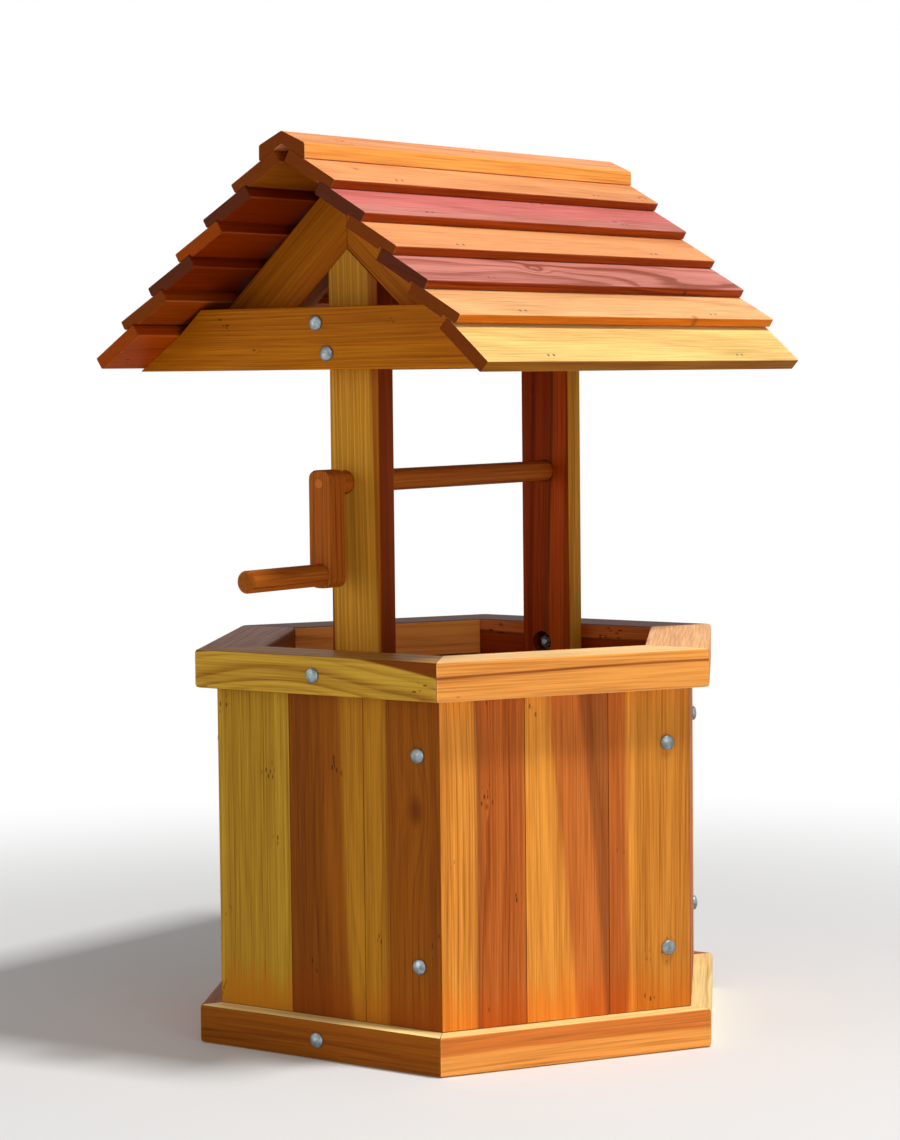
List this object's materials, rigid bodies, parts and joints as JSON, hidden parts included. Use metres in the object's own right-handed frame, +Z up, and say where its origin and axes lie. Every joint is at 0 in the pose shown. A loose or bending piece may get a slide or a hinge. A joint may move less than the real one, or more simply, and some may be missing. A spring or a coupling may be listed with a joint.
{
  "type": "wishing well planter",
  "caption": "Six-sided timber planter box shaped as a wishing well, with a lapped-board gable roof on two posts and a hand crank that turns in them.",
  "frame": {"origin": "on the ground, under the middle of the overall box with the crank's handle included", "axes": "+Z up, ridge and crank axle along Y, crank arm at the -Y end, X across the roof"},
  "size_m": [0.859, 0.9338, 1.3098],
  "materials": {
    "base_timber": "oiled, satin",
    "rim_timber": "oiled, satin",
    "wall_timber": "oiled, satin",
    "post_timber": "oiled, satin",
    "gable_timber": "oiled, satin",
    "roof_timber": "oiled, satin",
    "crank_timber": "oiled, satin",
    "inner_timber": "oiled, matte",
    "zinc": "zinc plated"
  },
  "bodies": {
    "well": {"base_ring_1": "base_timber", "base_ring_2": "base_timber", "base_ring_3": "base_timber", "base_ring_4": "base_timber", "base_ring_5": "base_timber", "base_ring_6": "base_timber", "rim_1": "rim_timber", "rim_2": "rim_timber", "rim_3": "rim_timber", "rim_4": "rim_timber", "rim_5": "rim_timber", "rim_6": "rim_timber", "wall_panel_1": "wall_timber", "wall_panel_2": "wall_timber", "wall_panel_3": "wall_timber", "wall_panel_4": "wall_timber", "wall_panel_5": "wall_timber", "wall_panel_6": "wall_timber", "corner_cleat_1": "inner_timber", "corner_cleat_2": "inner_timber", "corner_cleat_3": "inner_timber", "corner_cleat_4": "inner_timber", "corner_cleat_5": "inner_timber", "corner_cleat_6": "inner_timber", "floor_board_1": "inner_timber", "floor_board_2": "inner_timber", "floor_board_3": "inner_timber", "floor_board_4": "inner_timber", "post_front": "post_timber", "collar_front": "gable_timber", "rafter_front_1": "gable_timber", "rafter_front_2": "gable_timber", "rim_bolt_front": "zinc", "base_bolt_front": "zinc", "collar_bolt_front_1": "zinc", "collar_bolt_front_2": "zinc", "post_back": "post_timber", "collar_back": "gable_timber", "rafter_back_1": "gable_timber", "rafter_back_2": "gable_timber", "rim_bolt_back": "zinc", "base_bolt_back": "zinc", "collar_bolt_back_1": "zinc", "collar_bolt_back_2": "zinc", "roof_board_right_1": "roof_timber", "roof_board_right_2": "roof_timber", "roof_board_right_3": "roof_timber", "roof_board_right_4": "roof_timber", "roof_board_right_5": "roof_timber", "roof_board_right_6": "roof_timber", "roof_board_left_1": "roof_timber", "roof_board_left_2": "roof_timber", "roof_board_left_3": "roof_timber", "roof_board_left_4": "roof_timber", "roof_board_left_5": "roof_timber", "roof_board_left_6": "roof_timber", "ridge_cap": "roof_timber"},
    "crank": {"crank_axle": "crank_timber", "crank_arm": "crank_timber", "crank_handle": "crank_timber"}
  },
  "joints": [
    {"name": "crank_turn", "type": "hinge", "parent": "well", "child": "crank", "pos_m": [-0.009, 0, 0.819], "axis": [0, 1, 0], "continuous": true}
  ]
}
